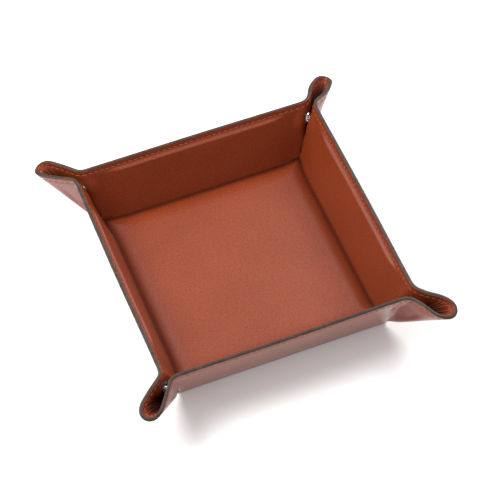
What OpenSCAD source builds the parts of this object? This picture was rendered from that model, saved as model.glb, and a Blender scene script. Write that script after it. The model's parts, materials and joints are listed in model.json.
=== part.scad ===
// Leather snap-corner tray: one flat leather sheet whose four walls fold up and
// whose corners pinch together into ears, held by hidden-back press snaps.
// Origin: centre of the underside. +Z is up, -Y is the front.

/* [Tray] */
// Distance between opposite fold lines of the base
crease_w = 123; // [118:1:130]
// Slope length of a wall from its fold line to the rim
wall_l = 38.5; // [37:0.5:41]
// Angle of a snapped-up wall above the floor
wall_angle = 72.5; // [71:0.5:75]
// Rounding radius of the sheet's four corners
corner_r = 10.5; // [9:0.5:12]

/* [Leather] */
// Thickness of one leather layer
skin_t = 1.1; // [1:0.05:1.2]
// Gap between pieces that move against each other
fold_gap = 0.3; // [0.2:0.05:0.4]

/* [Boards and padding] */
// Thickness of a wall stiffener board
wall_board_t = 1.5; // [1.2:0.1:1.6]
// Distance from the rim to the top of a wall board
board_drop = 4.6; // [4:0.2:6]
// Thickness of the base board
base_board_t = 1.6; // [1.4:0.1:2]
// Thickness of the floor's foam pad
foam_t = 2.2; // [1.6:0.1:2.6]
// Distance from a base fold line to the base board
base_board_inset = 8.5; // [8:0.5:12]

/* [Ears] */
// Angle at the base corner between the wall's end and the flank fold
flank_fold_pos = 10; // [9.5:0.5:10.5]
// Angle at the base corner between the wall's end and the tip fold
tip_fold_pos = 40; // [39:0.5:41]
// Height up the sheet at which the ear pieces start
ear_root = 8; // [7:0.5:10]

/* [Snaps] */
// Distance from the base corner to the snap's centre
snap_dist = 26; // [26:0.5:29]
// Distance from the flank fold to the snap's centre
snap_inset = 4.7; // [4.7:0.1:5.5]
// Diameter of the stud's and the socket's flange
snap_d = 9; // [8.4:0.2:9]
// Diameter of the stud's head
stud_d = 3.4; // [3:0.1:3.6]
// Height of the stud's head above its flange
stud_h = 1.4; // [1.2:0.05:1.4]

/* [Hidden] */
half_w = crease_w / 2;
half_gap = fold_gap / 2;
// A length beyond the whole tray, and one too small to matter
reach = 400;
small = 0.01;
// Overrun of a bore past the face it opens in
cut = 1;
// Play around a board or the foam in its pocket, and around a rivet
pocket_play = 0.08;
rivet_play = 0.05;

// Wall boards: how far their ends stand in from the base corner at the foot and
// at the head, and the extra angle that clears the foot from the lining
board_foot_inset = 2.2;
board_head_inset = 5;
board_relief = 1;

// Floor pad: rounding of its corners, width of the lining's margin around it,
// and its shoulder as distances in from the foot with shares of the height
pad_corner_r = 5;
pad_margin = 0.6;
pad_shoulder = [[0, 0], [2.2, 0.55], [5.5, 0.85], [10, 0.97], [22, 1]];

// Snap details: the rivet behind each half, the stud's flange and the socket
rivet_r = 0.9;
rivet_cap_r = 3.4;
rivet_cap_t = 0.5;
stud_grip = 0.4;
socket_grip = 0.25;
seat = 0.02;
flange_rim = 0.25;
flange_t = 0.45;
socket_t = 1.2;
socket_floor_t = 0.3;
socket_bore_r = 2.3;

// The sides in turn, each a quarter turn on from the one before
SIDES = ["front", "right", "back", "left"];

// Corner names seen from each side: the sheet's -X end, then its +X end
function ends(k) = [SIDES[(k + 3) % 4], SIDES[(k + 1) % 4]];
function half_name(k, e) = str(SIDES[k], "_at_", ends(k)[e]);
function corner_name(k) = str(SIDES[k], "_", ends(k)[1]);

// Fold angles of an ear. In the snapped-up tray the two halves of an ear meet
// face to edge on the diagonal plane, so the tip must arrive square to it.
start_u = [cos(wall_angle) / sqrt(2), cos(wall_angle) / sqrt(2), sin(wall_angle)];
start_t = [1 / sqrt(2), -1 / sqrt(2), 0];
fold_u = start_u * cos(flank_fold_pos) + start_t * sin(flank_fold_pos);
fold_t = start_t * cos(flank_fold_pos) - start_u * sin(flank_fold_pos);
fold_b = cross(fold_u, fold_t);
span_a = tip_fold_pos - flank_fold_pos;
needed = (sin(45 - tip_fold_pos) - fold_u[1] * cos(span_a)) / sin(span_a);
flank_fold = atan2(fold_b[1], fold_t[1]) - acos(needed / norm([fold_t[1], fold_b[1]]));
flank_t = fold_t * cos(flank_fold) + fold_b * sin(flank_fold);
tip_u = fold_u * cos(span_a) + flank_t * sin(span_a);
tip_t = flank_t * cos(span_a) - fold_u * sin(span_a);
square_t = [0, -1, 0] + tip_u[1] * tip_u;
tip_fold = acos(tip_t * square_t / norm(square_t));

leather_colour = [0.55, 0.25, 0.13];
lining_colour = [0.60, 0.27, 0.14];
board_colour = [0.62, 0.58, 0.50];
foam_colour = [0.92, 0.90, 0.82];
metal_colour = [0.80, 0.80, 0.82];

// ---- Sheet frame: X along a fold line, Y up the sheet, Z outwards, Z = 0 between the layers ----

// Lays a piece drawn on the flat sheet onto side k of the snapped-up tray, and
// keeps it within that side's quarter, clear of the next sides
module on_side(k) {
    intersection() {
        rotate([0, 0, 90 * k])
            translate([0, -half_w, skin_t])
                rotate([180 - wall_angle, 0, 0])
                    children();
        rotate([0, 0, 90 * k])
            quarter();
    }
}

// The front quarter of the space between the two diagonals
module quarter() {
    linear_extrude(reach, center = true)
        polygon([[0, -half_gap * sqrt(2)], [reach, -reach - half_gap * sqrt(2)],
            [-reach, -reach - half_gap * sqrt(2)]]);
}

// Mirrors an ear piece drawn at the +X end to the -X end
module at_end(e) {
    mirror([e == 0 ? 1 : 0, 0, 0])
        children();
}

// Turns a piece about the sheet line that leaves the base corner at an angle
module fold_about(pos, angle) {
    translate([half_w, 0, 0])
        rotate([0, 0, -pos])
            rotate([0, angle, 0])
                rotate([0, 0, pos])
                    translate([-half_w, 0, 0])
                        children();
}

module as_flank() {
    fold_about(flank_fold_pos, -flank_fold)
        children();
}

module as_tip() {
    as_flank()
        fold_about(tip_fold_pos, tip_fold)
            children();
}

// Block on one side (dir) of the fold line at an angle, leaning back over the layers it meets
module beyond(pos, dir, lean = 0) {
    translate([half_w, 0, 0])
        rotate([0, 0, -pos])
            rotate([0, lean, 0])
                translate([dir > 0 ? half_gap : -reach - half_gap, -reach / 2, -reach / 2])
                    cube(reach);
}

// Block above the base fold line, leaning back over the layers it meets
module above_crease(lean = 0) {
    rotate([-lean, 0, 0])
        translate([-reach / 2, half_gap, -reach / 2])
            cube(reach);
}

// Outline of the sheet around the +X corner, from the start of the ear to the rim
module corner_outline() {
    edge = half_w + wall_l;
    translate([0, ear_root])
        square([edge - corner_r, wall_l - ear_root]);
    translate([0, ear_root])
        square([edge, wall_l - ear_root - corner_r]);
    translate([edge - corner_r, wall_l - corner_r])
        circle(corner_r, $fn = 96);
}

// Outline of a wall between its two flank folds
module wall_outline() {
    head = half_w + wall_l * tan(flank_fold_pos);
    polygon([[-half_w, 0], [half_w, 0], [head, wall_l], [-head, wall_l]]);
}

// Outline of a wall board, narrower at the rim, grown by a margin at its sides and top
module board_outline(margin = 0) {
    foot = half_w - board_foot_inset + margin;
    head = half_w - board_head_inset + margin;
    top = wall_l - board_drop + margin;
    polygon([[-foot, 0], [foot, 0], [head, top], [-head, top]]);
}

// ---- Base ----

module rounded_square(half, r) {
    square([2 * (half - r), 2 * half], center = true);
    square([2 * half, 2 * (half - r)], center = true);
    for (x = [-1, 1]) {
        for (y = [-1, 1]) {
            translate([x * (half - r), y * (half - r)])
                circle(r, $fn = 32);
        }
    }
}

// Cushion shape: a foot that rolls over into a gently crowned top
module cushion(foot, r, z0, z1) {
    rise = z1 - z0;
    hull() {
        for (step = pad_shoulder) {
            translate([0, 0, z0 - small])
                linear_extrude(rise * step[1] + small)
                    rounded_square(foot - step[0], r);
        }
    }
}

module base_leather() {
    color(leather_colour)
        translate([-half_w + half_gap, -half_w + half_gap, 0])
            cube([crease_w - fold_gap, crease_w - fold_gap, skin_t]);
}

module base_board() {
    color(board_colour)
        translate([0, 0, skin_t])
            linear_extrude(base_board_t)
                rounded_square(half_w - base_board_inset, pad_corner_r);
}

module base_foam() {
    color(foam_colour)
        cushion(half_w - base_board_inset, pad_corner_r, skin_t + base_board_t + 2 * small,
            skin_t + base_board_t + foam_t);
}

// Floor lining: a flat border and a crowned middle over the board and the foam
module base_lining() {
    foot = half_w - base_board_inset;
    board_top = skin_t + base_board_t;
    color(lining_colour)
        difference() {
            union() {
                intersection() {
                    translate([0, 0, 1.5 * skin_t])
                        cube([crease_w, crease_w, skin_t], center = true);
                    within_mitres();
                }
                cushion(foot + skin_t + pad_margin, pad_corner_r + skin_t, 1.5 * skin_t,
                    board_top + foam_t + skin_t);
            }
            translate([0, 0, skin_t - cut])
                linear_extrude(base_board_t + cut)
                    rounded_square(foot + pocket_play, pad_corner_r);
            cushion(foot + pocket_play, pad_corner_r, board_top, board_top + foam_t + pocket_play);
        }
}

// Space over the base inside the four planes that halve the fold between floor and wall
module within_mitres() {
    intersection_for (k = [0:3]) {
        rotate([0, 0, 90 * k])
            translate([0, -half_w, skin_t])
                rotate([-wall_angle / 2, 0, 0])
                    translate([-reach / 2, half_gap, -reach / 2])
                        cube(reach);
    }
}

// ---- Walls ----

module wall_leather(k) {
    color(leather_colour)
        on_side(k)
            intersection() {
                linear_extrude(skin_t)
                    wall_outline();
                above_crease();
                at_end(0)
                    beyond(flank_fold_pos, -1, -flank_fold / 2);
                at_end(1)
                    beyond(flank_fold_pos, -1, -flank_fold / 2);
            }
}

module wall_board(k) {
    color(board_colour)
        on_side(k)
            intersection() {
                translate([0, 0, -wall_board_t])
                    linear_extrude(wall_board_t)
                        board_outline();
                above_crease(-wall_angle / 2 - board_relief);
            }
}

// Wall lining: a border bonded to the outer leather and a panel raised over the board
module wall_lining(k) {
    color(lining_colour)
        on_side(k)
            difference() {
                intersection() {
                    union() {
                        translate([0, 0, -skin_t])
                            linear_extrude(skin_t)
                                wall_outline();
                        translate([0, 0, -skin_t - wall_board_t])
                            linear_extrude(skin_t + wall_board_t)
                                board_outline(skin_t);
                    }
                    above_crease(-wall_angle / 2);
                    at_end(0)
                        beyond(flank_fold_pos, -1);
                    at_end(1)
                        beyond(flank_fold_pos, -1);
                }
                translate([0, 0, -wall_board_t])
                    linear_extrude(wall_board_t + cut)
                        board_outline(pocket_play);
            }
}

// ---- Ears ----

// Snap centre on the flank, drawn on the flat sheet
module at_snap() {
    along = sqrt(snap_dist * snap_dist - snap_inset * snap_inset);
    translate([half_w, 0, 0])
        rotate([0, 0, -flank_fold_pos])
            translate([snap_inset, along, 0])
                children();
}

module flank_leather(k, e) {
    color(leather_colour)
        on_side(k)
            at_end(e)
                as_flank()
                    difference() {
                        intersection() {
                            linear_extrude(skin_t)
                                corner_outline();
                            beyond(flank_fold_pos, 1, flank_fold / 2);
                            beyond(tip_fold_pos, -1);
                        }
                        at_snap()
                            translate([0, 0, -cut])
                                cylinder(h = cut + rivet_cap_t + small, r = rivet_cap_r + 2 * rivet_play,
                                    $fn = 48);
                    }
}

module flank_lining(k, e) {
    color(lining_colour)
        on_side(k)
            at_end(e)
                as_flank()
                    difference() {
                        intersection() {
                            translate([0, 0, -skin_t])
                                linear_extrude(skin_t)
                                    corner_outline();
                            beyond(flank_fold_pos, 1);
                            beyond(tip_fold_pos, -1, tip_fold / 2);
                        }
                        at_snap()
                            translate([0, 0, -skin_t - cut])
                                cylinder(h = skin_t + 2 * cut, r = rivet_r + rivet_play, $fn = 32);
                    }
}

// Tip half: the two layers bonded together, up to the diagonal
module tip(k, e) {
    color(leather_colour)
        on_side(k)
            at_end(e)
                as_tip()
                    union() {
                        intersection() {
                            linear_extrude(skin_t)
                                corner_outline();
                            beyond(tip_fold_pos, 1);
                        }
                        intersection() {
                            translate([0, 0, -skin_t])
                                linear_extrude(skin_t + small)
                                    corner_outline();
                            beyond(tip_fold_pos, 1, -tip_fold / 2);
                        }
                    }
}

// ---- Snaps: drawn on the sheet with the tray's inside towards -Z ----

module on_flank(k, e) {
    on_side(k)
        at_end(e)
            as_flank()
                at_snap()
                    children();
}

// Stud: a thin flange and a round head with a rolled neck
module stud(k) {
    flange_r = snap_d / 2;
    head_r = stud_d / 2;
    color(metal_colour)
        on_flank(k, 1)
            rotate([180, 0, 0])
                translate([0, 0, skin_t])
                    difference() {
                        rotate_extrude($fn = 64)
                            polygon([[0, seat], [flange_r - 0.2, seat], [flange_r, flange_rim],
                                [flange_r - 0.3, flange_t - 0.05], [head_r + 0.5, flange_t],
                                [head_r - 0.15, flange_t + 0.15 * stud_h],
                                [head_r - 0.15, flange_t + 0.45 * stud_h],
                                [head_r, flange_t + 0.65 * stud_h],
                                [head_r - 0.1, flange_t + 0.8 * stud_h],
                                [head_r - 0.5, flange_t + stud_h], [0, flange_t + stud_h]]);
                        translate([0, 0, -cut])
                            cylinder(h = cut + stud_grip + 0.1, r = rivet_r + rivet_play, $fn = 32);
                    }
}

// Socket: a round cup whose bore takes the stud's head
module socket(k) {
    flange_r = snap_d / 2;
    color(metal_colour)
        on_flank((k + 1) % 4, 0)
            rotate([180, 0, 0])
                translate([0, 0, skin_t])
                    difference() {
                        rotate_extrude($fn = 64)
                            polygon([[0, seat], [flange_r - 0.2, seat], [flange_r, flange_rim],
                                [flange_r - 0.3, 0.4], [flange_r - 0.7, 0.5],
                                [flange_r - 0.9, socket_t - 0.2], [flange_r - 1.2, socket_t],
                                [0, socket_t]]);
                        translate([0, 0, socket_floor_t])
                            cylinder(h = socket_t, r = socket_bore_r, $fn = 48);
                        translate([0, 0, -cut])
                            cylinder(h = 2 * cut, r = rivet_r + rivet_play, $fn = 32);
                    }
}

// Rivet behind a snap half: its cap lies between the layers, its post goes through the lining
module snap_rivet(k, e, grip) {
    color(metal_colour)
        on_flank(k, e)
            union() {
                translate([0, 0, seat])
                    cylinder(h = rivet_cap_t - seat, r = rivet_cap_r, $fn = 48);
                translate([0, 0, -skin_t - grip])
                    cylinder(h = skin_t + grip + 2 * seat, r = rivet_r, $fn = 32);
            }
}

base_leather();
base_board();
base_foam();
base_lining();
for (k = [0:3]) {
    wall_leather(k);
    wall_board(k);
    wall_lining(k);
    for (e = [0, 1]) {
        flank_leather(k, e);
        flank_lining(k, e);
        tip(k, e);
    }
    stud(k);
    snap_rivet(k, 1, stud_grip);
    socket(k);
    snap_rivet((k + 1) % 4, 0, socket_grip);
}
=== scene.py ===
import json
import math

import bpy
import numpy as np
from mathutils import Matrix, Vector


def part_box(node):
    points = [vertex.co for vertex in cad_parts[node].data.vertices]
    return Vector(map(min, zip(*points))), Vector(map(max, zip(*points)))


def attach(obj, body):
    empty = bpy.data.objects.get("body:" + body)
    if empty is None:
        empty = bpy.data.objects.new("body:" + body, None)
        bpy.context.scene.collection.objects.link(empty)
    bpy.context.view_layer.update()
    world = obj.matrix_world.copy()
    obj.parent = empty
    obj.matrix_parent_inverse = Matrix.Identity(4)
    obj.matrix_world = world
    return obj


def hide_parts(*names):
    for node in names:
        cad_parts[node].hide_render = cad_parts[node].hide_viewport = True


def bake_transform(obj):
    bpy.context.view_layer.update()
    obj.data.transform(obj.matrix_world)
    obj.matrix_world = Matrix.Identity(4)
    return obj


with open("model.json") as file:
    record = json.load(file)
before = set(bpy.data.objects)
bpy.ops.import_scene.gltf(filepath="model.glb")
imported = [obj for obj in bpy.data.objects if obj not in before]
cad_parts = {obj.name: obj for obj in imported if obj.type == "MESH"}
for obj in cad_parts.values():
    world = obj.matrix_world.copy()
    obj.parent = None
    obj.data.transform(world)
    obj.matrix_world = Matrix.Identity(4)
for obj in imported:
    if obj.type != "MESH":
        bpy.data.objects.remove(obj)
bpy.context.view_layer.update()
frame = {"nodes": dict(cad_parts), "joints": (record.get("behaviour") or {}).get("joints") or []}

MM = 0.001
SIDES = ["front", "right", "back", "left"]
JOINTS = {joint["name"]: joint for joint in frame["joints"]}

# ---------------------------------------------------------------- frame sizes

# The sheet: every place is given as (x along a fold line, y up the sheet), with the
# mid-surface between the two leather layers as its zero thickness.
HALF = -JOINTS["front_wall_fold"]["pos_m"][1]
SKIN = JOINTS["front_wall_fold"]["pos_m"][2]
ANGLE = math.radians(JOINTS["front_wall_fold"]["range_deg"][1])
COS, SIN = math.cos(ANGLE), math.sin(ANGLE)
WALL = (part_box("front_wall_lining")[1].z - SKIN - SKIN * COS) / SIN
CORNER_R = 10.5 * MM
BOARD_T = 1.5 * MM

UP = np.array([0, -COS, SIN])
OUT = np.array([0, -SIN, -COS])
FLANK_AXIS = np.array(JOINTS["flank_fold_front_at_right"]["axis"])
TIP_AXIS = np.array(JOINTS["tip_fold_front_at_right"]["axis"])
FLANK_POS = math.acos(UP @ FLANK_AXIS)
TIP_POS = FLANK_POS + math.acos(FLANK_AXIS @ TIP_AXIS)
CORNER = np.array([HALF, -HALF, SKIN])
DIAGONAL = math.pi / 4

# Ray angles where the skins of one side are parted: wall from flank, and flank from tip
WALL_CUT = -0.15
EAR_CUT = 0.43
# How near the skins of an ear come to the base corner
OUTER_ROOT, LINING_ROOT = 1.2 * MM, 0.3 * MM

# ---------------------------------------------------------------- small maths


def smooth(t):
    t = np.clip(t, 0, 1)
    return t * t * (3 - 2 * t)


def bump(t):
    """Curvature of a soft bend over 0 to 1, with an area of one."""
    t = np.clip(t, 0, 1)
    return 6 * t * (1 - t)


def waves(x, y, seed, size):
    """Gentle random swell of about unit height, the same for every run."""
    rng = np.random.default_rng(seed)
    total = np.zeros(np.broadcast(x, y).shape)
    for _ in range(6):
        a, phase = rng.uniform(0, 2 * np.pi, 2)
        k = 2 * np.pi / (size * rng.uniform(0.7, 1.6))
        total = total + np.sin(k * (x * np.cos(a) + y * np.sin(a)) + phase)
    return total / 3


def turn_about(v, axis, angle):
    """The vector v turned about a unit axis."""
    swung = v * math.cos(angle) + np.cross(axis, v) * math.sin(angle)
    return swung + axis * (axis @ v) * (1 - math.cos(angle))


# ---------------------------------------------------------------- the ear's shape

# A soft cone: rays from the base corner, given by how far round the sheet they lie.
# In (along the diagonal, off the diagonal, up) axes the ray turns out into the flank,
# eases back, and closes round the tip.
# Per ear: centre and width of the flank's bend, then of the tip's bend, then how far it
# eases back between them. Hand-pinched leather never folds twice alike. The ears come in the
# order of the sides: each stands at the left end of its side, seen from outside.
EARS = {
    "front_left": (0.188, 0.200, 0.785, 0.495, -0.147),
    "front_right": (0.155, 0.225, 0.760, 0.700, 0.650),
    "back_right": (0.245, 0.350, 0.785, 0.240, -0.950),
    "back_left": (0.182, 0.204, 0.758, 0.391, -0.093),
}


def ear_rays(shape, flank_turn, tip_turn, steps=500):
    """Ray directions and tangents from the wall's end to the diagonal."""
    flank_at, flank_width, tip_at, tip_width, ease = shape
    ray = np.array([COS / math.sqrt(2), COS / math.sqrt(2), SIN])
    side = np.array([1, -1, 0]) / math.sqrt(2)
    step = DIAGONAL / steps
    rays, sides = [ray], [side]
    ease_width = tip_at - flank_at
    for i in range(steps):
        s = (i + 0.5) * step
        turn = flank_turn / flank_width * bump((s - flank_at) / flank_width + 0.5)
        turn += tip_turn / tip_width * bump((s - tip_at) / tip_width + 0.5)
        turn += ease / ease_width * bump((s - flank_at) / ease_width)
        spin = np.cross(ray, side) + turn * ray
        angle = np.linalg.norm(spin) * step
        axis = spin / np.linalg.norm(spin)
        ray, side = turn_about(ray, axis, angle), turn_about(side, axis, angle)
        rays.append(ray)
        sides.append(side)
    return np.array(rays), np.array(sides)


def closed_ear(shape):
    """Solves the two turns for an ear that meets its mirror image square on the diagonal."""
    ease, nudge = shape[4], 1e-4
    turns = np.array([1.0 - 0.35 * ease, -2.9 - ease])

    def miss(turns):
        rays, sides = ear_rays(shape, *turns)
        return np.array([rays[-1][1], sides[-1][0]])

    for _ in range(8):
        here = miss(turns)
        slope = np.array([(miss(turns + d) - here) / nudge for d in np.eye(2) * nudge]).T
        turns = turns - np.linalg.solve(slope, here)
    rays, sides = ear_rays(shape, *turns)
    return rays, np.cross(rays, sides), sides


EAR_TABLES = [closed_ear(shape) for shape in EARS.values()]
S_GRID = np.linspace(0, DIAGONAL, len(EAR_TABLES[0][0]))


def at_ray(table, s):
    return np.stack([np.interp(s, S_GRID, table[:, i]) for i in range(3)], -1)


def from_diagonal(v):
    """(along the diagonal, off it, up) to X, Y, Z at the front right corner."""
    g, n, z = v[..., 0], v[..., 1], v[..., 2]
    return np.stack([(g - n) / math.sqrt(2), (-g - n) / math.sqrt(2), z], -1)


def rim_reach(s, inset=0.0):
    """Distance along a ray from the base corner to the sheet's edge, less an inset."""
    flat = (WALL - inset) / np.cos(s)
    c = WALL - CORNER_R
    b = (np.sin(s) + np.cos(s)) * c
    round_r = b + np.sqrt(np.maximum(b * b - 2 * c * c + (CORNER_R - inset) ** 2, 0))
    return np.where(s > np.arctan2(c, WALL - inset), round_r, flat)


def rim_distance(x, y):
    """How far a place on the sheet lies inside the sheet's edge."""
    c = WALL - CORNER_R
    dx, dy = x - HALF - c, y - c
    corner = CORNER_R - np.hypot(np.maximum(dx, 0), np.maximum(dy, 0))
    return np.where((dx > 0) & (dy > 0), corner, WALL - np.maximum(y, x - HALF))


# ---------------------------------------------------------------- the sheet in space

# Each skin stops just short of the ear's diagonal, where its mirror image starts
LINING_GAP, OUTER_GAP = 0.004 * MM, 0.05 * MM
# Half the length of sheet in the fold along the floor, and where that fold sharpens at a corner
CREASE, CREASE_END = 1.6 * MM, 2.5 * MM
WALL_BOW = 0.35 * MM


def sheet_point(x, y, d, ear=0):
    """Place on the front side: x along the fold, y up the sheet, d outwards from the mid-surface."""
    x, y, d = np.broadcast_arrays(np.asarray(x, float), y, d)
    mirror, x = np.sign(x) + (x == 0), np.abs(x)
    # flat wall or base, with a soft fold between them
    t = np.clip((y + CREASE) / (2 * CREASE), 0, 1)
    back = np.array([0, 1.0, 0])
    wall = np.stack([x, -HALF + 0 * y, SKIN + 0 * y], -1)
    along = np.where(y[..., None] > 0, y[..., None] * UP, -y[..., None] * back)
    in_fold = np.abs(y) < CREASE
    eased = (CREASE * (1 - t) ** 2)[..., None] * back + (CREASE * t**2)[..., None] * UP
    soft = smooth((HALF - x) / CREASE_END)[..., None]
    along = np.where(in_fold[..., None], along * (1 - soft) + eased * soft, along)
    lean = t[..., None]
    normal = (1 - lean) * np.array([0, 0, -1.0]) + lean * OUT
    normal /= np.linalg.norm(normal, axis=-1, keepdims=True)
    bow = WALL_BOW * smooth(y / WALL) * np.cos(np.clip(x / HALF, 0, 1) * np.pi / 2) ** 2
    flat = wall + along + normal * (d + bow)[..., None]
    # ear
    s = np.arctan2(x - HALF, np.maximum(y, 1e-9))
    r = np.hypot(x - HALF, y)
    rays, normals, _ = EAR_TABLES[ear]
    cone = at_ray(rays, s) * r[..., None] + at_ray(normals, s) * d[..., None]
    folded = CORNER + from_diagonal(cone)
    point = np.where((s > 0)[..., None] & (y > 0)[..., None], folded, flat)
    # stay on this side of the diagonal
    off = (-point[..., 0] - point[..., 1]) / math.sqrt(2)
    push = np.maximum(np.where(d > 0, OUTER_GAP, LINING_GAP) - off, 0) / math.sqrt(2)
    point[..., 0] -= push
    point[..., 1] -= push
    point[..., 0] *= mirror
    return point


# A snap's distance from the base corner, and how far it lies past the flank's fold
SNAP_DIST, SNAP_INSET = 26 * MM, 4.7 * MM
# How far round a snap the sheet is held flat, and how it comes free: outwards, and towards the tip
SNAP_HOLD, SNAP_EASE = 3.4 * MM, 9 * MM
TIP_FREE, TIP_EASE = 0.48, 0.16
SNAP_S = FLANK_POS + math.asin(SNAP_INSET / SNAP_DIST)
SNAP_AT = (HALF + SNAP_DIST * math.sin(SNAP_S), SNAP_DIST * math.cos(SNAP_S))
FLANK_PLANE = np.cross(TIP_AXIS, FLANK_AXIS) / np.linalg.norm(np.cross(TIP_AXIS, FLANK_AXIS))


def clamp_at_snap(point, x, y, d):
    """Presses the sheet flat onto the frame's flank plane round a snap."""
    far = np.hypot(np.abs(x) - SNAP_AT[0], y - SNAP_AT[1])
    s = np.arctan2(np.abs(x) - HALF, np.maximum(y, 1e-9))
    hold = (1 - smooth((far - SNAP_HOLD) / SNAP_EASE)) * (1 - smooth((s - TIP_FREE) / TIP_EASE))
    mirror = np.sign(x) + (x == 0)
    local = point.copy()
    local[..., 0] *= mirror
    off = (local - CORNER) @ FLANK_PLANE - d
    local -= (off * hold)[..., None] * FLANK_PLANE
    local[..., 0] *= mirror
    return local


# The stitch line's distance from the edge, and how much the thread and the edge paint thin the leather
STITCH_IN, STITCH_HALO = 2.8 * MM, 0.75 * MM
STITCH_PULL, EDGE_PULL = 0.16, 0.10
# A wall's board: half its width at foot and head, its distance below the rim, its skived ends and slope
BOARD_FOOT, BOARD_HEAD, BOARD_DROP = HALF - 2.2 * MM, HALF - 5 * MM, 4.6 * MM
SKIVE, SKIVE_LIP = 16 * MM, 1 * MM
SLOPE, SLOPE_LIP = 1.9 * MM, 0.9 * MM
# The fine folds inside an ear: their height, and their two spacings in ray angle
WRINKLE = 0.20 * MM
WRINKLE_WIDE, WRINKLE_FINE = 0.043, 0.029
# Random swell of the leather, which dies out towards the rim, and the glue line between the layers
SWELL, RIM_CALM = 0.05 * MM, 6 * MM
GLUE = 0.01 * MM


def thickness(x, y):
    """Layer thickness: thinner at the edge, pulled in by the stitches, fine at the ear's root."""
    x = np.abs(x)
    inside = rim_distance(x, y)
    t = SKIN * (1 - STITCH_PULL * np.exp(-(((inside - STITCH_IN) / STITCH_HALO) ** 2)))
    t = t - EDGE_PULL * SKIN * (1 - smooth(inside / (1.2 * MM)))
    s = np.arctan2(x - HALF, np.maximum(y, 1e-9))
    r = np.hypot(x - HALF, y)
    root = 1 - smooth(s / 0.12) * (1 - smooth(r / (13 * MM)))
    return t * np.where(y > 0, root, 1)


def board_rise(x, y):
    """How far the lining stands over the wall's board."""
    edge = BOARD_FOOT + (BOARD_HEAD - BOARD_FOOT) * np.clip(y / WALL, 0, 1)
    skived = smooth((edge + SKIVE_LIP - np.abs(x)) / SKIVE)
    top = smooth((WALL - y - BOARD_DROP + SLOPE_LIP) / SLOPE)
    return BOARD_T * skived * top


def wrinkles(x, y):
    """Fine folds that fan down inside an ear from its rim."""
    s = np.arctan2(np.abs(x) - HALF, np.maximum(y, 1e-9))
    inside = rim_distance(np.abs(x), y)
    reach = smooth((inside - 2.6 * MM) / (2.5 * MM)) * (1 - smooth((inside - 12 * MM) / (16 * MM)))
    fan = np.sin(2 * np.pi * s / WRINKLE_WIDE + 0.8) + 0.7 * np.sin(2 * np.pi * s / WRINKLE_FINE + 2.1)
    return WRINKLE * fan * reach * smooth((s - 0.46) / 0.14)


def lining_face(x, y, k, ear=0):
    swell = waves(x, y, 40 + k, 22 * MM) * smooth(rim_distance(np.abs(x), y) / RIM_CALM)
    d = -thickness(x, y) - board_rise(x, y) + wrinkles(x, y) - SWELL * swell
    return clamp_at_snap(sheet_point(x, y, d, ear), x, y, -SKIN)


def lining_back(x, y, ear=0):
    d = -GLUE - board_rise(x, y)
    return clamp_at_snap(sheet_point(x, y, d, ear), x, y, -GLUE)


def outer_face(x, y, k, ear=0):
    swell = waves(x, y, 50 + k, 25 * MM) * smooth(rim_distance(np.abs(x), y) / RIM_CALM)
    d = thickness(x, y) + SWELL * swell * smooth(y / (5 * MM))
    return clamp_at_snap(sheet_point(x, y, d, ear), x, y, SKIN)


def outer_back(x, y, ear=0):
    return clamp_at_snap(sheet_point(x, y, GLUE, ear), x, y, GLUE)


# ---------------------------------------------------------------- floor lining

# Heights of the lining at the foot of a wall and in the middle, and how much of that is crown
FLOOR_EDGE, FLOOR_TOP, FLOOR_CROWN = 2.3 * MM, 6.0 * MM, 0.35 * MM
# The padded shoulder: its width, its flat lip, its roundness, and how soft its mitred corners are
SHOULDER, SHOULDER_LIP, SHOULDER_POWER, MITRE = 12.5 * MM, 0.4 * MM, 2.4, 1.5 * MM
# Where a wall's lining meets the floor: up the sheet, and out from the middle
INNER_Y = (FLOOR_EDGE - SKIN - (SKIN + BOARD_T) * COS) / SIN
INNER_HALF = HALF + INNER_Y * COS - (SKIN + BOARD_T) * SIN
# The seam between the floor's skin and the walls' skins, and the floor's corner, where the walls
# have no board and so stand further out
FLOOR_CUT = INNER_HALF - 4.5 * MM
FLOOR_CORNER = INNER_HALF + BOARD_T / SIN


def floor_reach(t):
    """How far the floor runs out to a wall's lining, at a place t along the wall."""
    return INNER_HALF + (BOARD_T - board_rise(t, 0)) / SIN


def floor_height(x, y):
    """Crowned, padded floor with soft shoulders."""
    ax, ay = floor_reach(y) - np.abs(x), floor_reach(x) - np.abs(y)
    h = np.clip(0.5 + 0.5 * (ay - ax) / MITRE, 0, 1)
    edge = ay * (1 - h) + ax * h - MITRE * h * (1 - h)
    rise = 1 - (1 - np.clip((edge - SHOULDER_LIP) / SHOULDER, 0, 1)) ** SHOULDER_POWER
    crown = FLOOR_CROWN * np.cos(x / INNER_HALF * np.pi / 2) * np.cos(y / INNER_HALF * np.pi / 2)
    swell = 0.07 * MM * waves(x, y, 7, 30 * MM) * smooth(edge / (14 * MM))
    return FLOOR_EDGE + (FLOOR_TOP - FLOOR_CROWN - FLOOR_EDGE) * rise + crown + swell


# ---------------------------------------------------------------- meshes


def turn_to_side(points, k):
    a = k * math.pi / 2
    spin = np.array([[math.cos(a), -math.sin(a), 0], [math.sin(a), math.cos(a), 0], [0, 0, 1]])
    return points @ spin.T


def build(name, points, faces, uv, material):
    mesh = bpy.data.meshes.new(name)
    mesh.from_pydata(points.reshape(-1, 3).tolist(), [], faces)
    layer = mesh.uv_layers.new(name="sheet")
    loops = np.empty(len(mesh.loops), np.int32)
    mesh.loops.foreach_get("vertex_index", loops)
    layer.data.foreach_set("uv", uv.reshape(-1, 2)[loops].astype(np.float32).ravel())
    mesh.polygons.foreach_set("use_smooth", [True] * len(mesh.polygons))
    mesh.materials.append(material)
    mesh.update()
    thing = bpy.data.objects.new(name, mesh)
    bpy.context.scene.collection.objects.link(thing)
    return thing


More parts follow.
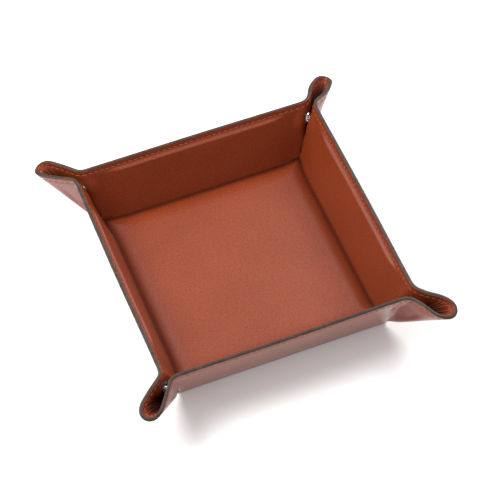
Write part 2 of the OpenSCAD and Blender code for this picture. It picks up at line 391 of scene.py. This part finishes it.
def edge_bead(name, rings, uv, flip=False):
    """Painted edge through rings of points."""
    return build(name, rings, tube_faces(*rings.shape[:2], flip=flip), uv, EDGE)


def grid_faces(rows, cols, start=0, flip=False):
    a = (np.arange(rows - 1)[:, None] * cols + np.arange(cols - 1)[None, :]).ravel() + start
    quads = np.stack([a, a + 1, a + cols + 1, a + cols], -1)
    return quads[:, ::-1].tolist() if flip else quads.tolist()


def slab(name, front, back, uv, material, flip=False):
    """Closed sheet of leather between two matching grids of points."""
    rows, cols = front.shape[:2]
    count = rows * cols
    faces = grid_faces(rows, cols, 0, flip) + grid_faces(rows, cols, count, not flip)
    ring = [(0, c) for c in range(cols)] + [(r, cols - 1) for r in range(1, rows)]
    ring += [(rows - 1, c) for c in range(cols - 2, -1, -1)] + [(r, 0) for r in range(rows - 2, 0, -1)]
    ids = [r * cols + c for r, c in ring]
    for a, b in zip(ids, ids[1:] + ids[:1]):
        quad = [b, a, a + count, b + count]
        faces.append(quad[::-1] if flip else quad)
    points = np.concatenate([front.reshape(-1, 3), back.reshape(-1, 3)])
    both = np.concatenate([uv.reshape(-1, 2), uv.reshape(-1, 2)])
    thing = build(name, points, faces, both, material)
    thing.data.set_sharp_from_angle(angle=math.radians(50))
    return thing


def tube_faces(rows, cols, start=0, flip=False):
    """Faces of a closed tube of rings, capped at both ends."""
    faces = []
    for r in range(rows - 1):
        for c in range(cols):
            n = (c + 1) % cols
            faces.append([r * cols + c, r * cols + n, (r + 1) * cols + n, (r + 1) * cols + c])
    faces += [list(range(cols))[::-1], list(range((rows - 1) * cols, rows * cols))]
    return [[start + i for i in (face[::-1] if flip else face)] for face in faces]


# Rows of a skin near the rim, as distances in from the edge
RIM_ROWS = np.array([0, 0.35, 0.8, 1.3, 1.8, 2.2, 2.5, 2.8, 3.1, 3.4, 3.8, 4.2, 4.6, 5.0, 5.4, 5.8, 6.4]) * MM


def wall_grid(first, rows_between, cols=150):
    """Grid over a wall between its ear cuts, from the row first up to the rim."""
    low = np.concatenate([first, np.linspace(first[-1], WALL - RIM_ROWS[-1], rows_between)[1:]])
    y = np.concatenate([low, (WALL - RIM_ROWS[:-1])[::-1]])[:, None]
    end = HALF + np.where(y > 0, y * math.tan(WALL_CUT), y)
    share = np.linspace(-1, 1, cols)[None, :]
    return share * end, y + 0 * share


def ear_grid(s0, s1, cols, root, rows_between=26):
    """Grid over part of an ear between two rays, from its root to the rim."""
    s = np.linspace(s0, s1, cols)[None, :]
    inner = rim_reach(s, RIM_ROWS[-1])
    t = np.linspace(0, 1, rows_between)[:, None] ** 1.15
    low = root + (inner - root) * t
    high = np.concatenate([rim_reach(s, e) for e in RIM_ROWS[:-1][::-1]], 0)
    r = np.concatenate([low, high], 0)
    return HALF + r * np.sin(s), r * np.cos(s)


# The painted bead's outline: mm in from the edge, side as a share of the thickness, mm proud of it
EDGE_PROFILE = [(0.50, -1.0, 0.00), (0.15, -1.0, 0.06), (-0.12, -0.72, 0.0), (-0.30, -0.25, 0.0),
                (-0.30, 0.25, 0.0), (-0.12, 0.72, 0.0), (0.15, 1.0, 0.06), (0.50, 1.0, 0.00), (0.9, 0.0, 0.0)]
EDGE_SWELL = 0.03 * MM


def edge_rings(place, on_wall, ear=0):
    """Painted bead round the two raw leather edges, at x places on a wall or at rays on an ear."""
    rings, uv = [], []
    for inset, side, proud in EDGE_PROFILE:
        if on_wall:
            x, y = place, WALL - inset * MM + 0 * place
        else:
            r = rim_reach(place, inset * MM)
            x, y = HALF + r * np.sin(place), r * np.cos(place)
        d = side * (thickness(x, np.minimum(y, WALL)) + proud * MM)
        d = d + EDGE_SWELL * waves(x, y, 90, 5 * MM)
        rings.append(sheet_point(x, y, d, ear))
        uv.append(np.stack([x, y], -1))
    return np.stack(rings, 1), np.stack(uv, 1)


# ---------------------------------------------------------------- stitches

STITCH_PITCH = 3.4 * MM
THREAD_R = 0.27 * MM
# Half a stitch's length as a share of the pitch, its slant, and how its middle stands and its ends sink
STITCH_SHARE, STITCH_SLANT = 0.40, 0.16 * MM
STITCH_STAND, STITCH_SINK = 0.24, 0.20


def stitch_line(t):
    """Sheet place at a distance t along the stitch line, from the wall's middle to the diagonal."""
    straight = HALF + WALL - CORNER_R
    radius = CORNER_R - STITCH_IN
    turn = np.clip((t - straight) / radius, 0, None)
    x = np.where(t < straight, t, straight + radius * np.sin(turn))
    y = np.where(t < straight, WALL - STITCH_IN, WALL - CORNER_R + radius * np.cos(turn))
    return x, y


def stitch_centres():
    length = HALF + WALL - CORNER_R + (CORNER_R - STITCH_IN) * math.pi / 4
    count = round(length / STITCH_PITCH)
    return (np.arange(count) + 0.5) * length / count, length / count


def one_stitch(t, pitch, face, mirror, slant, ear):
    """Rings of one short thread, its ends dipping into the leather."""
    u = np.linspace(-1, 1, 9)
    along = t + u * pitch * STITCH_SHARE
    x, y = stitch_line(along)
    y = y + slant * u * STITCH_SLANT
    place = lining_face if face == "in" else outer_face
    nudge = 0.05 * MM
    surface = place(x * mirror, y, 0, ear)
    ahead = place((x + nudge) * mirror, y, 0, ear)
    above = place(x * mirror, y + nudge, 0, ear)
    normal = np.cross(ahead - surface, above - surface)
    normal /= np.linalg.norm(normal, axis=-1, keepdims=True)
    middle = sheet_point(x * mirror, y, 0 * x, ear)
    normal *= np.sign(np.sum(normal * (surface - middle), -1))[:, None]
    lift = (STITCH_STAND * np.sqrt(np.maximum(1 - u**2, 0)) - STITCH_SINK) * MM
    centre = surface + normal * lift[:, None]
    tangent = np.gradient(centre, axis=0)
    tangent /= np.linalg.norm(tangent, axis=-1, keepdims=True)
    across = np.cross(normal, tangent)
    radius = THREAD_R * (0.55 + 0.45 * np.sqrt(np.maximum(1 - np.abs(u) ** 3, 0)))
    turns = np.linspace(0, 2 * np.pi, 8, endpoint=False)
    twist = 1 + 0.10 * np.cos(2 * turns[None, :] + 9 * u[:, None])
    return centre[:, None] + (radius[:, None] * twist)[..., None] * (
        across[:, None] * np.cos(turns)[None, :, None] + normal[:, None] * np.sin(turns)[None, :, None])


def stitch_row(name, k, ends, low, high, face):
    """All stitches of one face whose ray lies between low and high, as one piece."""
    centres, pitch = stitch_centres()
    points, faces, uv = [], [], []
    count = 0
    for end in ends:
        mirror = 1 if end else -1
        for t in centres:
            x, y = stitch_line(t)
            s = math.atan2(x - HALF, y)
            if not low <= s < high:
                continue
            rings = one_stitch(t, pitch, face, mirror, 1 if face == "in" else -1, (k + end) % 4)
            rows, cols = rings.shape[:2]
            faces += tube_faces(rows, cols, count, flip=(mirror > 0) == (face == "in"))
            points.append(rings.reshape(-1, 3))
            uv.append(np.stack([np.repeat(np.linspace(0, 3, rows), cols),
                                np.tile(np.arange(cols) / cols, rows)], -1))
            count += rows * cols
    return build(name, turn_to_side(np.concatenate(points), k), faces, np.concatenate(uv), THREAD)


# ---------------------------------------------------------------- materials


class Nodes:
    """A material's node tree, with short calls to build it."""

    def __init__(self, name):
        self.material = bpy.data.materials.new(name)
        self.material.use_nodes = True
        self.tree = self.material.node_tree
        self.tree.nodes.clear()
        self.output = self.add("ShaderNodeOutputMaterial")
        self.shader = self.add("ShaderNodeBsdfPrincipled")
        self.link(self.shader.outputs["BSDF"], self.output.inputs["Surface"])

    def add(self, kind, **settings):
        node = self.tree.nodes.new(kind)
        for key, value in settings.items():
            setattr(node, key, value)
        return node

    def link(self, a, b):
        self.tree.links.new(a, b)

    def set(self, **values):
        for key, value in values.items():
            self.shader.inputs[key.replace("_", " ")].default_value = value

    def coords(self):
        """Places on the sheet, in metres."""
        return self.add("ShaderNodeUVMap", uv_map="sheet").outputs["UV"]

    def noise(self, vector, scale, detail=3, rough=0.5):
        node = self.add("ShaderNodeTexNoise")
        node.inputs["Scale"].default_value = scale
        node.inputs["Detail"].default_value = detail
        node.inputs["Roughness"].default_value = rough
        self.link(vector, node.inputs["Vector"])
        return node.outputs["Fac"]

    def ramp(self, value, stops):
        node = self.add("ShaderNodeValToRGB")
        while len(node.color_ramp.elements) < len(stops):
            node.color_ramp.elements.new(0.5)
        for element, (place, colour) in zip(node.color_ramp.elements, stops):
            element.position = place
            element.color = (*colour, 1)
        self.link(value, node.inputs["Fac"])
        return node.outputs["Color"]

    def scaled(self, value, low, high):
        node = self.add("ShaderNodeMapRange")
        node.inputs["To Min"].default_value = low
        node.inputs["To Max"].default_value = high
        self.link(value, node.inputs["Value"])
        return node.outputs["Result"]

    def mix(self, share, a, b, blend="MIX"):
        node = self.add("ShaderNodeMix", data_type="RGBA", blend_type=blend)
        for socket, value in ((node.inputs[0], share), (node.inputs[6], a), (node.inputs[7], b)):
            if isinstance(value, (int, float)):
                socket.default_value = value
            elif isinstance(value, tuple):
                socket.default_value = (*value, 1)
            else:
                self.link(value, socket)
        return node.outputs[2]

    def bump(self, height, strength, distance, below=None):
        node = self.add("ShaderNodeBump")
        node.inputs["Strength"].default_value = strength
        node.inputs["Distance"].default_value = distance
        self.link(height, node.inputs["Height"])
        if below is not None:
            self.link(below, node.inputs["Normal"])
        return node.outputs["Normal"]


# Colour of the painted shade laid into the lining's creases, hollows and corners
PAINTED_SHADE_COLOUR = (0.020, 0.0035, 0.0015)


def leather(name, deep, body, light, roughness, grain, coat):
    """Smooth grained leather, with specks and fine pebbles, darkened by painted shade in creases, hollows and
    corners.
    """
    m = Nodes(name)
    at = m.coords()
    cloud = m.noise(at, scale=28, detail=4, rough=0.55)
    fine = m.noise(at, scale=900, detail=4, rough=0.6)
    colour = m.ramp(cloud, [(0.25, deep), (0.52, body), (0.85, light)])
    speck = m.scaled(fine, 0.35, 1.65)
    tint = m.mix(1.0, colour, speck, "MULTIPLY")
    cells = m.add("ShaderNodeTexVoronoi", feature="DISTANCE_TO_EDGE")
    cells.inputs["Scale"].default_value = 1150
    cells.inputs["Randomness"].default_value = 0.95
    m.link(at, cells.inputs["Vector"])
    pebble = m.scaled(cells.outputs["Distance"], 0, 1)
    low = m.bump(m.noise(at, scale=90), strength=0.22, distance=0.6 * MM)
    mid = m.bump(pebble, strength=grain, distance=0.12 * MM, below=low)
    top = m.bump(fine, strength=0.7 * grain, distance=0.08 * MM, below=mid)
    m.link(top, m.shader.inputs["Normal"])
    shine = m.scaled(m.noise(at, scale=260, detail=4, rough=0.6), roughness - 0.07, roughness + 0.09)
    m.link(shine, m.shader.inputs["Roughness"])
    # Painted shade: a stored share per point darkens the colour in creases, hollows and corners
    dark = m.add("ShaderNodeAttribute", attribute_name="crease")
    shaded = m.mix(dark.outputs["Fac"], tint, PAINTED_SHADE_COLOUR)
    m.link(shaded, m.shader.inputs["Base Color"])
    m.set(Specular_IOR_Level=0.36, Coat_Weight=coat, Coat_Roughness=0.34)
    return m.material


def edge_paint():
    m = Nodes("edge_paint_dark")
    at = m.coords()
    patch = m.noise(at, scale=160, detail=4, rough=0.6)
    m.link(m.ramp(patch, [(0.3, (0.018, 0.013, 0.010)), (0.6, (0.034, 0.026, 0.021)),
                          (0.85, (0.065, 0.053, 0.045))]), m.shader.inputs["Base Color"])
    swell = m.bump(patch, strength=0.5, distance=0.4 * MM)
    grit = m.bump(m.noise(at, scale=700, rough=0.6), strength=0.5, distance=0.1 * MM, below=swell)
    m.link(grit, m.shader.inputs["Normal"])
    m.link(m.scaled(patch, 0.45, 0.62), m.shader.inputs["Roughness"])
    m.set(Specular_IOR_Level=0.30)
    return m.material


def thread():
    m = Nodes("waxed_thread")
    at = m.coords()
    ply = m.add("ShaderNodeTexWave", wave_type="BANDS", bands_direction="DIAGONAL")
    ply.inputs["Scale"].default_value = 2.2
    ply.inputs["Distortion"].default_value = 0.6
    m.link(at, ply.inputs["Vector"])
    m.link(m.ramp(ply.outputs["Fac"], [(0.1, (0.20, 0.045, 0.013)), (0.7, (0.42, 0.125, 0.042))]),
           m.shader.inputs["Base Color"])
    m.link(m.bump(ply.outputs["Fac"], strength=0.7, distance=0.08 * MM), m.shader.inputs["Normal"])
    m.link(m.scaled(ply.outputs["Fac"], 0.5, 0.68), m.shader.inputs["Roughness"])
    m.set(Specular_IOR_Level=0.35)
    return m.material


def object_noise(m, scale, detail=3):
    coords = m.add("ShaderNodeTexCoord")
    return m.noise(coords.outputs["Object"], scale, detail)


def nickel():
    m = Nodes("polished_nickel")
    cloud = object_noise(m, 900)
    m.link(m.ramp(cloud, [(0.3, (0.62, 0.61, 0.60)), (0.7, (0.80, 0.79, 0.77))]),
           m.shader.inputs["Base Color"])
    m.link(m.scaled(cloud, 0.14, 0.26), m.shader.inputs["Roughness"])
    m.link(m.bump(object_noise(m, 2600), strength=0.15, distance=0.03 * MM), m.shader.inputs["Normal"])
    m.set(Metallic=1.0)
    return m.material


def plain_core(name, dark, pale, scale):
    m = Nodes(name)
    cloud = object_noise(m, scale, 5)
    m.link(m.ramp(cloud, [(0.3, dark), (0.7, pale)]), m.shader.inputs["Base Color"])
    m.link(m.bump(cloud, strength=0.5, distance=0.2 * MM), m.shader.inputs["Normal"])
    m.link(m.scaled(cloud, 0.75, 0.95), m.shader.inputs["Roughness"])
    return m.material


OUTER = leather("leather_outer", (0.180, 0.030, 0.009), (0.205, 0.036, 0.011), (0.228, 0.043, 0.014),
                roughness=0.31, grain=0.30, coat=0.85)
LINING = leather("leather_lining", (0.182, 0.028, 0.0062), (0.202, 0.032, 0.0073), (0.222, 0.037, 0.0090),
                 roughness=0.44, grain=0.40, coat=0.02)
EDGE = edge_paint()
THREAD = thread()
NICKEL = nickel()
BOARD = plain_core("grey_board", (0.30, 0.26, 0.21), (0.42, 0.38, 0.31), 400)
FOAM = plain_core("white_foam", (0.70, 0.67, 0.58), (0.86, 0.83, 0.74), 1500)

# The base board, the foam and the snaps keep their CAD shape
for node, thing in frame["nodes"].items():
    if node.endswith("_board"):
        core = BOARD
    elif node == "base_foam":
        core = FOAM
    else:
        core = NICKEL
    thing.data.materials.clear()
    thing.data.materials.append(core)

# ---------------------------------------------------------------- the pieces


def sheet_uv(x, y, k):
    """Places on the sheet, moved on for each side so that no two sides share their grain."""
    return np.stack([x + 0.31 * k, y + 0.17 * k], -1)


# Each of an ear's folds: its axis and ray angle, how far the blend starts before and ends after it,
# and how far along the fold the blend line crosses
EAR_BENDS = {"flank": (FLANK_AXIS, FLANK_POS, 2.8 * MM, 3.2 * MM, 34 * MM),
             "tip": (TIP_AXIS, TIP_POS, 3.6 * MM, 2.4 * MM, 40 * MM)}


def bend_ends(k, mirror, ear, part):
    """Blend line over an ear's fold, square to the fold's axis."""
    axis, s, before, after, reach = EAR_BENDS[part]
    centre = CORNER + axis * reach
    across = from_diagonal(at_ray(EAR_TABLES[ear][2], np.array(s)))
    line = np.array([centre - across * before, centre + across * after])
    line[:, 0] *= mirror
    return [tuple(p) for p in turn_to_side(line, k)]


def half_name(k, end):
    neighbours = [SIDES[(k + 3) % 4], SIDES[(k + 1) % 4]]
    return f"{SIDES[k]}_at_{neighbours[end]}"


# Rows up the sheet over the fold, for the outer skin, and from the floor up, for the lining
FOLD_ROWS = np.array([-6, -4.5, -3, -2.2, -1.5, -1, -0.5, 0, 0.5, 1, 1.5, 2.2, 3]) * MM
FOOT_ROWS = np.array([INNER_Y + 0.02 * MM, INNER_Y + 0.5 * MM, INNER_Y + 1.2 * MM, 3 * MM])
SEAM_PLAY = 0.05 * MM


def wall_outer(k):
    x, y = wall_grid(FOLD_ROWS, 22)
    piece = slab(f"{SIDES[k]}_wall_outer_skin", turn_to_side(outer_face(x, y, k), k),
                 turn_to_side(outer_back(x, y), k), sheet_uv(x, y, k), OUTER, flip=True)
    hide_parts(f"{SIDES[k]}_wall_leather")
    return piece


def wall_lining(k):
    """The wall's lining, with the strip of floor lining that runs into it."""
    x, y = wall_grid(FOOT_ROWS, 22)
    y = y + (BOARD_T - board_rise(x, 0)) * COS / SIN * (1 - smooth((y - INNER_Y) / (3 * MM)))
    out = np.linspace(0, 1, 7)[:, None]
    share = np.linspace(-1, 1, x.shape[1])[None, :]
    far = FLOOR_CORNER - SEAM_PLAY
    floor_x = share * (FLOOR_CUT + out * (far - FLOOR_CUT))
    floor_y = FLOOR_CUT + out * (floor_reach(share * far) - SEAM_PLAY - FLOOR_CUT)
    top = np.stack([floor_x, -floor_y, floor_height(floor_x, floor_y)], -1)
    front = np.concatenate([top, lining_face(x, y, k)], 0)
    back = np.concatenate([top - np.array([0, 0, SKIN]), lining_back(x, y)], 0)
    uv = np.concatenate([sheet_uv(floor_x, floor_y - HALF, k), sheet_uv(x, y, k)], 0)
    piece = slab(f"{SIDES[k]}_wall_lining_skin", turn_to_side(front, k), turn_to_side(back, k), uv,
                 LINING)
    # Painted shade along the wall's foot, stronger and wider towards the corners
    corner = smooth((np.abs(x) - INNER_HALF + 5 * MM) / (4 * MM))
    foot_shade = (0.5 + 0.25 * corner) * (1 - smooth((y - INNER_Y) / ((2 + corner) * MM)))
    store_painted_shade(piece, np.concatenate([floor_painted_shade(floor_x, floor_y), foot_shade], 0))
    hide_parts(f"{SIDES[k]}_wall_lining")
    return piece


def wall_board(k):
    """The wall's board, skived thin towards its ends."""
    across = np.linspace(-1, 1, 60) * (BOARD_HEAD - 1 * MM)
    x, y = np.meshgrid(across, np.linspace(3.5 * MM, WALL - BOARD_DROP, 24))
    front = sheet_point(x, y, 0.04 * MM - board_rise(x, y))
    back = sheet_point(x, y, -0.02 * MM)
    piece = slab(f"{SIDES[k]}_wall_skived_board", turn_to_side(front, k), turn_to_side(back, k),
                 sheet_uv(x, y, k), BOARD)
    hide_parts(f"{SIDES[k]}_wall_board")
    return piece


def wall_pieces(k):
    side = SIDES[k]
    outer, lining, board = wall_outer(k), wall_lining(k), wall_board(k)
    end = HALF + WALL * math.tan(WALL_CUT)
    rings, uv = edge_rings(np.linspace(-end, end, 200), True)
    edge = edge_bead(f"{side}_wall_edge_paint", turn_to_side(rings, k), uv, flip=True)
    inside = stitch_row(f"{side}_wall_stitches_in", k, (0, 1), -np.inf, WALL_CUT, "in")
    outside = stitch_row(f"{side}_wall_stitches_out", k, (0, 1), -np.inf, WALL_CUT, "out")
    for piece in (outer, lining):
        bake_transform(piece)
    for piece in (board, edge, inside, outside):
        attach(piece, f"{side}_wall")


def store_painted_shade(lining, share):
    """Stores the painted shade, how much darker the leather is painted where shade falls, for both faces of a
    slab.
    """
    layer = lining.data.attributes.new("crease", "FLOAT", "POINT")
    layer.data.foreach_set("value", np.tile(share.ravel(), 2).astype(np.float32))


# Painted shade along the floor's edge at the walls' foot, darker towards the corners
def floor_painted_shade(x, y):
    edge = np.minimum(floor_reach(y) - np.abs(x), floor_reach(x) - np.abs(y))
    corner = smooth((np.minimum(np.abs(x), np.abs(y)) - INNER_HALF + 5 * MM) / (4 * MM))
    return (0.55 + 0.15 * corner) * (1 - smooth((edge - 0.3 * MM) / (3.2 * MM)))


def paint_ear_shade(lining, x, y):
    """Stores painted shade deep inside the ear's bulb, lighter and darker along its fine folds."""
    s = np.arctan2(np.abs(x) - HALF, y)
    inside = rim_distance(np.abs(x), y)
    deep = smooth((s - 0.34) / 0.25) * smooth((inside - 2.5 * MM) / (9 * MM))
    fold = wrinkles(x, y) / (0.34 * MM)
    store_painted_shade(lining, np.clip(0.87 * deep - 0.6 * fold, 0, 0.96))


def ear_pieces(k, end, part, s0, s1, cols):
    half = half_name(k, end)
    mirror = 1 if end else -1
    ear = (k + end) % 4
    turned = mirror < 0
    x, y = ear_grid(s0, s1, cols, OUTER_ROOT)
    x = x * mirror
    outer = slab(f"{part}_{half}_outer_skin", turn_to_side(outer_face(x, y, k, ear), k),
                 turn_to_side(outer_back(x, y, ear), k), sheet_uv(x, y, k), OUTER,
                 flip=not turned)
    x, y = ear_grid(s0, s1, cols, LINING_ROOT)
    x = x * mirror
    lining = slab(f"{part}_{half}_lining_skin", turn_to_side(lining_face(x, y, k, ear), k),
                  turn_to_side(lining_back(x, y, ear), k), sheet_uv(x, y, k), LINING,
                  flip=turned)
    paint_ear_shade(lining, x, y)
    rings, ring_uv = edge_rings(np.linspace(s0, s1, cols + 10), False, ear)
    rings[..., 0] *= mirror
    edge = edge_bead(f"{part}_{half}_edge_paint", turn_to_side(rings, k), ring_uv, flip=not turned)
    inside = stitch_row(f"{part}_{half}_stitches_in", k, (end,), s0, s1, "in")
    outside = stitch_row(f"{part}_{half}_stitches_out", k, (end,), s0, s1, "out")
    if part == "flank":
        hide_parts(f"flank_{half}_leather")
        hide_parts(f"flank_{half}_lining")
    else:
        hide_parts(f"tip_{half}")
    for piece in (outer, lining, edge, inside, outside):
        bend_ends(k, mirror, ear, part)
        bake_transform(piece)


def floor_pieces():
    t = np.linspace(-1, 1, 150)
    x, y = np.meshgrid(t * FLOOR_CUT, t * FLOOR_CUT)
    top = np.stack([x, y, floor_height(x, y)], -1)
    lining = slab("floor_lining_skin", top, top - np.array([0, 0, SKIN]), np.stack([x - 0.4, y - 0.3], -1),
                  LINING)
    store_painted_shade(lining, floor_painted_shade(x, y))
    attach(lining, "base")
    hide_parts("base_lining")
    half = HALF - 6 * MM
    x, y = np.meshgrid(t[::3] * half, t[::3] * half)
    under = np.stack([x, y, 0 * x], -1)
    outer = slab("base_outer_skin", under + np.array([0, 0, SKIN]), under, np.stack([x + 0.9, y + 0.6], -1),
                 OUTER)
    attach(outer, "base")
    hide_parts("base_leather")


floor_pieces()
for side_index in range(4):
    wall_pieces(side_index)
    for end_index in (0, 1):
        ear_pieces(side_index, end_index, "flank", WALL_CUT, EAR_CUT, 60)
        ear_pieces(side_index, end_index, "tip", EAR_CUT, DIAGONAL, 70)

# ---------------------------------------------------------------- stage, light, camera


def studio_floor():
    mesh = bpy.data.meshes.new("studio_floor")
    far = 3.0
    mesh.from_pydata([(-far, -far, 0), (far, -far, 0), (far, far, 0), (-far, far, 0)], [], [(0, 1, 2, 3)])
    floor = bpy.data.objects.new("studio_floor", mesh)
    bpy.context.scene.collection.objects.link(floor)
    m = Nodes("studio_white")
    m.set(Base_Color=(0.92, 0.92, 0.92, 1), Roughness=0.9, Specular_IOR_Level=0.1)
    mesh.materials.append(m.material)


def soft_box(name, place, aim, size, power):
    data = bpy.data.lights.new(name, "AREA")
    data.shape = "SQUARE"
    data.size = size
    data.energy = power
    lamp = bpy.data.objects.new(name, data)
    lamp.location = place
    lamp.rotation_mode = "QUATERNION"
    lamp.rotation_quaternion = (Vector(aim) - Vector(place)).to_track_quat("-Z", "Y")
    bpy.context.scene.collection.objects.link(lamp)


studio_floor()
world = bpy.data.worlds.new("studio")
world.use_nodes = True
world.node_tree.nodes["Background"].inputs["Color"].default_value = (1.0, 1.0, 1.0, 1)
world.node_tree.nodes["Background"].inputs["Strength"].default_value = 0.85
bpy.context.scene.world = world
soft_box("key", place=(-0.42, 0.16, 0.62), aim=(-0.02, 0.02, 0.01), size=0.36, power=5)
soft_box("rim", place=(0.75, 0.40, 0.80), aim=(0, 0, 0), size=0.5, power=9)
bpy.context.scene.view_settings.view_transform = "Standard"

# The camera looks at the tray's middle but for a small slide to the right and up
CAMERA_AZIMUTH, CAMERA_ELEVATION, CAMERA_ROLL = -22.225, 54.854, 0.344
CAMERA_AWAY, CAMERA_RIGHT, CAMERA_UP = 1.19604, 0.004827, 0.012261
CAMERA_LENS, CAMERA_SENSOR = 152.2, 36


def main_camera():
    azimuth, elevation, roll = np.radians([CAMERA_AZIMUTH, CAMERA_ELEVATION, CAMERA_ROLL])
    back = np.array([math.sin(azimuth) * math.cos(elevation), -math.cos(azimuth) * math.cos(elevation),
                     math.sin(elevation)])
    right = np.cross(-back, [0, 0, 1.0])
    right /= np.linalg.norm(right)
    up = np.cross(right, -back)
    right, up = math.cos(roll) * right + math.sin(roll) * up, -math.sin(roll) * right + math.cos(roll) * up
    place = back * CAMERA_AWAY + right * CAMERA_RIGHT + up * CAMERA_UP
    data = bpy.data.cameras.new("main_camera")
    data.sensor_width = CAMERA_SENSOR
    data.lens = CAMERA_LENS
    data.clip_start, data.clip_end = 0.01, 20
    camera = bpy.data.objects.new("main_camera", data)
    pose = Matrix.Identity(4)
    for i in range(3):
        pose[i][0], pose[i][1], pose[i][2], pose[i][3] = right[i], up[i], back[i], place[i]
    camera.matrix_world = pose
    bpy.context.scene.collection.objects.link(camera)
    bpy.context.scene.camera = camera


main_camera()
